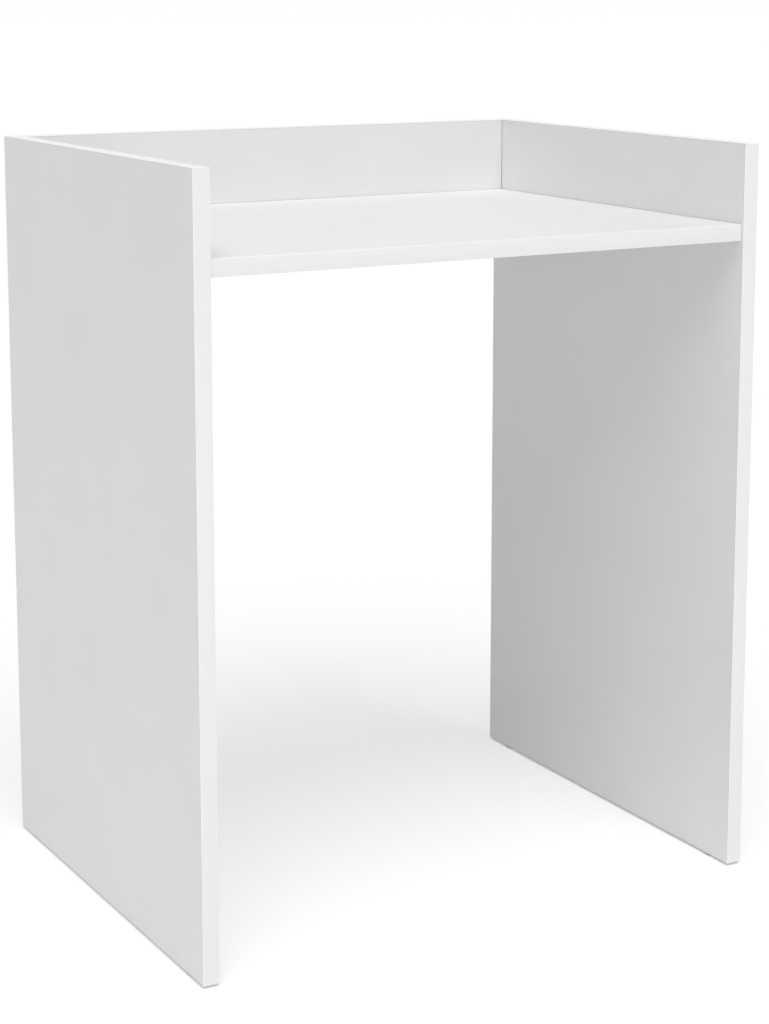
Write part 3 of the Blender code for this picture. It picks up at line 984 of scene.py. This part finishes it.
def moulded_polyethylene():
    """Natural polyethylene: waxy off-white, with a soft sheen and a little light inside it."""
    made, tree, shader = new_finish("moulded_polyethylene")
    spot = add_node(tree, "ShaderNodeTexCoord").outputs["Object"]
    cloud = add_node(tree, "ShaderNodeTexNoise", {"Vector": spot, "Scale": 1 / moulding_cloud})
    grain = add_node(tree, "ShaderNodeTexNoise", {"Vector": spot, "Scale": 1 / moulding_grain})
    tone = add_node(
        tree,
        "ShaderNodeMix",
        {0: cloud.outputs["Fac"], 6: linear(moulding_deep), 7: linear(moulding_pale)},
        data_type="RGBA",
    )
    waxy = add_node(
        tree,
        "ShaderNodeMapRange",
        {"Value": grain.outputs["Fac"], "To Min": moulding_smooth, "To Max": moulding_rough},
    )
    bump = add_node(tree, "ShaderNodeBump", {"Height": grain.outputs["Fac"], "Distance": moulding_depth})
    tree.links.new(tone.outputs[2], shader.inputs["Base Color"])
    tree.links.new(waxy.outputs[0], shader.inputs["Roughness"])
    tree.links.new(bump.outputs[0], shader.inputs["Normal"])
    shader.inputs["IOR"].default_value = polyethylene_ior
    shader.inputs["Subsurface Weight"].default_value = inner_light_share
    shader.inputs["Subsurface Scale"].default_value = inner_light_reach
    return made


def drawn_steel_wire():
    """Bright drawn wire: a darker grey steel, with scratches along the nail."""
    made, tree, shader = new_finish("drawn_steel_wire")
    place = add_node(tree, "ShaderNodeTexCoord")
    drawn = add_node(
        tree,
        "ShaderNodeMapping",
        {"Vector": place.outputs["UV"], "Scale": (1 / wire_mark_length, 1 / wire_mark, 1.0)},
    )
    marks = add_node(tree, "ShaderNodeTexNoise", {"Vector": drawn.outputs[0], "Scale": 1.0})
    tone = add_node(
        tree,
        "ShaderNodeMix",
        {0: marks.outputs["Fac"], 6: linear(wire_dark), 7: linear(wire_light)},
        data_type="RGBA",
    )
    polish = add_node(
        tree,
        "ShaderNodeMapRange",
        {"Value": marks.outputs["Fac"], "To Min": wire_smooth, "To Max": wire_rough},
    )
    tree.links.new(tone.outputs[2], shader.inputs["Base Color"])
    tree.links.new(polish.outputs[0], shader.inputs["Roughness"])
    shader.inputs["Metallic"].default_value = 1.0
    return made


polyethylene = moulded_polyethylene()
nail_steel = drawn_steel_wire()
for node in sorted(name for name in frame["nodes"] if name.startswith("glide")):
    low_corner, high_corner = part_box(node)
    radius = (high_corner.x - low_corner.x) / 2
    height = high_corner.z - low_corner.z
    foot = middle(node)
    foot.z = low_corner.z
    if node.startswith("glide_nail"):
        nail = mesh_from_grid("nail", *nail_grid(radius, height))
        ringed_nail = seated(nail, node.replace("glide_nail", "ringed_nail"), foot, (0, 0, 1), (1, 0, 0))
        add_piece(ringed_nail, nail_steel, "cabinet", node)
    else:
        glide = mesh_from_grid("glide", *glide_grid(radius, height))
        floor_glide = seated(glide, node.replace("glide", "floor_glide"), foot, (0, 0, 1), (1, 0, 0))
        add_piece(floor_glide, polyethylene, "cabinet", node)


# Floor
# A plain pale floor, which the eye sees as white, with the cabinet's soft shadow on it. In the narrow gap
# under each side the floor's white light is darkened by ambient occlusion: painted shade.

floor_reach = 60.0
floor_white = 1.12
floor_grey = "#E6E6E6"
floor_light_share = 0.42
painted_shade_reach = 0.0042


def seen_directly(tree):
    """1 for a ray from the camera, off a mirror or through glass, and 0 for light gathered by a surface."""
    ray = add_node(tree, "ShaderNodeLightPath")
    direct = add_node(
        tree,
        "ShaderNodeMath",
        {0: ray.outputs["Is Camera Ray"], 1: ray.outputs["Is Glossy Ray"]},
        operation="MAXIMUM",
    )
    seen = add_node(
        tree,
        "ShaderNodeMath",
        {0: direct.outputs[0], 1: ray.outputs["Is Transmission Ray"]},
        operation="MAXIMUM",
    )
    return seen.outputs[0]


def painted_floor():
    """A matt floor. To the eye nearly half of it is white light, so that the shadow on it is a soft one.

    That light is darkened by ambient occlusion, a painted shade, where a board or a glide is nearer than its
    reach.
    """
    made, tree, shader = new_finish("painted_floor")
    tree.nodes.remove(shader)
    seen = seen_directly(tree)
    tone = add_node(
        tree,
        "ShaderNodeMix",
        {0: seen, 6: linear(floor_grey), 7: linear(pure_white)},
        data_type="RGBA",
    )
    matt = add_node(tree, "ShaderNodeBsdfDiffuse", {"Color": tone.outputs[2]})
    # Painted shade: ambient occlusion darkens the floor's white light under the boards and glides
    gap_painted_shade = add_node(tree, "ShaderNodeAmbientOcclusion", {"Distance": painted_shade_reach})
    white = add_node(tree, "ShaderNodeEmission", {"Color": gap_painted_shade.outputs["Color"], "Strength": floor_white})
    share = add_node(tree, "ShaderNodeMath", {0: seen, 1: floor_light_share}, operation="MULTIPLY")
    mixed = add_node(
        tree, "ShaderNodeMixShader", {0: share.outputs[0], 1: matt.outputs[0], 2: white.outputs[0]}
    )
    tree.links.new(mixed.outputs[0], tree.nodes["Material Output"].inputs["Surface"])
    return made


floor_mesh = bpy.data.meshes.new("floor")
floor_corners = np.array([(-1, -1, 0), (1, -1, 0), (1, 1, 0), (-1, 1, 0)]) * floor_reach
floor_mesh.from_pydata(floor_corners, [], [(0, 1, 2, 3)])
floor_mesh.materials.append(painted_floor())
floor = bpy.data.objects.new("floor", floor_mesh)
bpy.context.scene.collection.objects.link(floor)
floor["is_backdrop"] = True


# Light
# A pale room and four broad soft lamps: a high one in front, low panels at the left and in front, which
# leave the left side greyer at its top, and a panel at the right, which lights the back board's left end.

room_strength = 0.40
top_lamp_strength = 1.90
top_lamp_spread = math.radians(50)
top_lamp_from = (-0.205, -0.44, 0.88)
left_panel_power = 0.80
left_panel_size = (1.5, 0.38)
left_panel_place = (-1.71, -0.45, 0.20)
left_panel_from = (-1, 0, 0)
front_panel_power = 4.7
front_panel_size = (1.6, 0.7)
front_panel_place = (-0.35, -2.20, 0.36)
front_panel_from = (0, -1, 0)
right_panel_power = 1.5
right_panel_size = (0.9, 0.5)
right_panel_place = (1.60, -1.40, 1.50)
right_panel_from = (1.90, -1.68, 0.55)


def add_lamp(name, kind, strength, faces_from, place=(0, 0, 0)):
    """A lamp whose light comes from the given direction, out of the camera's own sight.

    A panel stays out of the surfaces' reflections too, so that none glares in a board seen edge on.
    """
    data = bpy.data.lights.new(name, kind)
    data.energy = strength
    lamp = bpy.data.objects.new(name, data)
    bpy.context.scene.collection.objects.link(lamp)
    lamp.location = place
    lamp.rotation_mode = "QUATERNION"
    lamp.rotation_quaternion = Vector(faces_from).to_track_quat("Z", "Y")
    lamp.visible_camera = False
    lamp.visible_glossy = kind == "SUN"
    return data


world = bpy.data.worlds.new("studio")
bpy.context.scene.world = world
world.use_nodes = True
studio = world.node_tree
seen = seen_directly(studio)
level = add_node(studio, "ShaderNodeMapRange", {"Value": seen, "To Min": room_strength, "To Max": 1.0})
room = studio.nodes["Background"]
room.inputs["Color"].default_value = linear(pure_white)
studio.links.new(level.outputs[0], room.inputs["Strength"])

add_lamp("top_lamp", "SUN", top_lamp_strength, top_lamp_from).angle = top_lamp_spread
for name, power, faces_from, place, size in (
    ("left_panel", left_panel_power, left_panel_from, left_panel_place, left_panel_size),
    ("front_panel", front_panel_power, front_panel_from, front_panel_place, front_panel_size),
    ("right_panel", right_panel_power, right_panel_from, right_panel_place, right_panel_size),
):
    panel = add_lamp(name, "AREA", power, faces_from, place)
    panel.shape = "RECTANGLE"
    panel.size, panel.size_y = size


# Camera
# It stands at chest height, in front of the cabinet and to its left, and looks a little down on the shelf.
# Its lens is a long one, shifted a little, which keeps the uprights nearly straight.

camera_place = (-1.5017, -2.6951, 1.2139)
camera_turn = math.radians(29.41)
camera_dip = math.radians(9.45)
camera_lens = 80.24
camera_shift = -0.15
camera_sight = 180.0

camera_data = bpy.data.cameras.new("camera")
camera_data.lens = camera_lens
camera_data.shift_y = camera_shift
camera_data.clip_end = camera_sight
camera = bpy.data.objects.new("camera", camera_data)
bpy.context.scene.collection.objects.link(camera)
camera.location = camera_place
camera.rotation_euler = (math.pi / 2 - camera_dip, 0.0, -camera_turn)
bpy.context.scene.camera = camera
bpy.context.scene.view_settings.view_transform = "Standard"

low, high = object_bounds()
